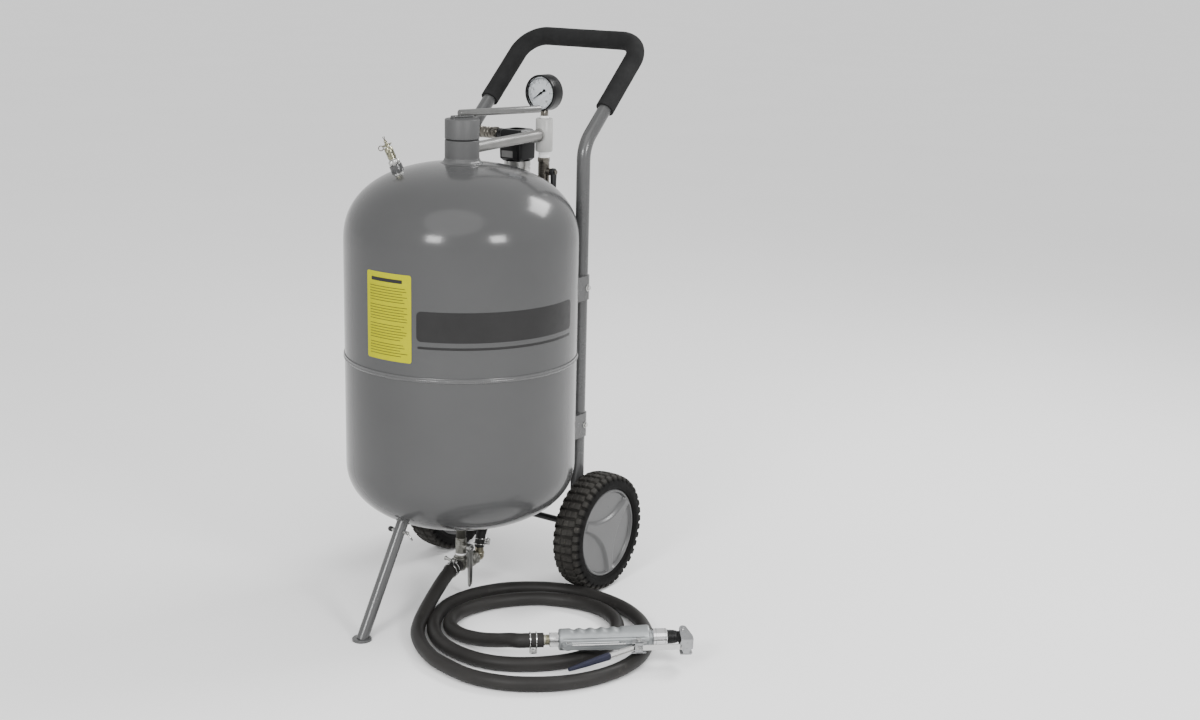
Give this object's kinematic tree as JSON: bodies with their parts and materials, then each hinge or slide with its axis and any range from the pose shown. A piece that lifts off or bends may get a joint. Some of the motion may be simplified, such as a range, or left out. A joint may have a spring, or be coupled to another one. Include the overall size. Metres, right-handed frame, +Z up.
{
  "type": "pressure-pot abrasive blaster",
  "caption": "Portable pressure-pot sandblaster: domed steel tank on a wheeled hand truck with front leg, gauge, valves, coiled blast hose and dead-man gun.",
  "frame": {"origin": "where the tank axis meets the floor", "axes": "+Z up along the tank axis, +Y towards the wheels and handle, front leg at -Y, +X to the right wheel"},
  "size_m": [0.7072, 0.6612, 0.9851],
  "materials": {
    "tank_paint": "gloss grey enamel over steel",
    "frame_paint": "gloss grey enamel over tube",
    "zinc": "bright zinc plate",
    "nickel": "nickel plate, polished",
    "light_pipe": "light grey pipe paint, satin",
    "brass": "turned brass, dulled",
    "dark_iron": "dark pipe scale",
    "tee_metal": "cast and plated, dull",
    "black_head": "gloss black",
    "gauge_black": "satin black",
    "dial": "matt white",
    "lens": "clear",
    "black_lever": "black vinyl coat",
    "hose_rubber": "satin black rubber",
    "seal_rubber": "black rubber",
    "navy_rubber": "soft dark blue-black rubber",
    "cast_aluminium": "as cast, satin",
    "polished_aluminium": "turned and polished",
    "ceramic": "black fired ceramic",
    "foam": "closed-cell foam, matt",
    "bright_steel": "bright steel",
    "axle_black": "black oxide",
    "tyre": "black rubber, chunky tread",
    "rim_plastic": "grey moulded plastic",
    "cover_plastic": "grey moulded plastic, satin"
  },
  "bodies": {
    "blaster": {"lower_shell": "tank_paint", "upper_shell": "tank_paint", "girth_weld": "tank_paint", "fill_neck": "tank_paint", "tank_bosses": "tank_paint", "safety_body": "brass", "safety_spring": "bright_steel", "manifold_pipe": "light_pipe", "manifold_sleeve": "light_pipe", "gauge_stem": "zinc", "gauge_case": "gauge_black", "gauge_dial": "dial", "gauge_lens": "lens", "separator_head": "black_head", "separator_bowl": "zinc", "inlet_fitting": "nickel", "throttle_body": "nickel", "air_hose": "hose_rubber", "hose_clamps": "bright_steel", "outlet_nipple": "dark_iron", "sand_valve_body": "tee_metal", "mixing_tee": "tee_metal", "tee_elbow": "brass", "blast_hose": "hose_rubber", "gun_inlet": "brass", "gun_half_upper": "cast_aluminium", "gun_half_lower": "cast_aluminium", "gun_screws": "bright_steel", "gun_tube": "bright_steel", "gun_ferrule": "polished_aluminium", "gun_nozzle": "ceramic", "gun_pivot_pin": "bright_steel", "gun_spring": "bright_steel", "frame_tube": "frame_paint", "foam_grip": "foam", "frame_brackets": "frame_paint", "bracket_bolts": "zinc", "axle_brackets": "frame_paint", "axle": "axle_black", "axle_retainers": "zinc", "leg_tube": "frame_paint", "leg_foot": "frame_paint", "leg_pin": "zinc"},
    "cap_seal": {"neck_oring": "seal_rubber"},
    "cap": {"filler_cap": "tank_paint"},
    "safety_pull": {"safety_stem": "nickel"},
    "needle": {"gauge_needle": "gauge_black"},
    "throttle": {"throttle_ball": "bright_steel", "throttle_lever": "black_lever"},
    "sand_valve": {"sand_valve_ball": "bright_steel", "sand_valve_lever": "zinc"},
    "gun_trigger": {"gun_lever": "bright_steel", "gun_lever_sleeve": "navy_rubber", "gun_stopper": "seal_rubber"},
    "wheel_right": {"tyre_right": "tyre", "rim_right": "rim_plastic", "hub_cover_right": "cover_plastic"},
    "wheel_left": {"tyre_left": "tyre", "rim_left": "rim_plastic", "hub_cover_left": "cover_plastic"}
  },
  "joints": [
    {"name": "cap_lift", "type": "slide", "parent": "blaster", "child": "cap_seal", "axis": [0, 0, 1], "range_m": [0, 0.12]},
    {"name": "cap_turn", "type": "hinge", "parent": "cap_seal", "child": "cap", "pos_m": [0, 0, 0.8158], "axis": [0, 0, 1], "continuous": true},
    {"name": "safety_pull_out", "type": "slide", "parent": "blaster", "child": "safety_pull", "axis": [-0.322, -0.2213, 0.9205], "range_m": [0, 0.004], "stiffness_N_per_m": 2000, "springref_m": -0.001},
    {"name": "needle_swing", "type": "hinge", "parent": "blaster", "child": "needle", "pos_m": [0, 0.222, 0.878], "axis": [0, 1, 0], "range_deg": [0, 270], "stiffness_Nm_per_rad": 0.0005},
    {"name": "throttle_turn", "type": "hinge", "parent": "blaster", "child": "throttle", "pos_m": [0, 0.2316, 0.738], "axis": [1, 0, 0], "range_deg": [0, 90]},
    {"name": "sand_valve_turn", "type": "hinge", "parent": "blaster", "child": "sand_valve", "pos_m": [0, 0, 0.091], "axis": [1, 0, 0], "range_deg": [0, 90]},
    {"name": "gun_squeeze", "type": "hinge", "parent": "blaster", "child": "gun_trigger", "pos_m": [0.4325, -0.07745, 0.04266], "axis": [-0.0919, 0.1046, -0.9903], "range_deg": [0, 15], "stiffness_Nm_per_rad": 2, "springref_deg": -5.73},
    {"name": "wheel_right_roll", "type": "hinge", "parent": "blaster", "child": "wheel_right", "pos_m": [0.1705, 0.1813, 0.10685], "axis": [1, 0, 0], "continuous": true},
    {"name": "wheel_left_roll", "type": "hinge", "parent": "blaster", "child": "wheel_left", "pos_m": [-0.1705, 0.1813, 0.10685], "axis": [1, 0, 0], "continuous": true}
  ]
}
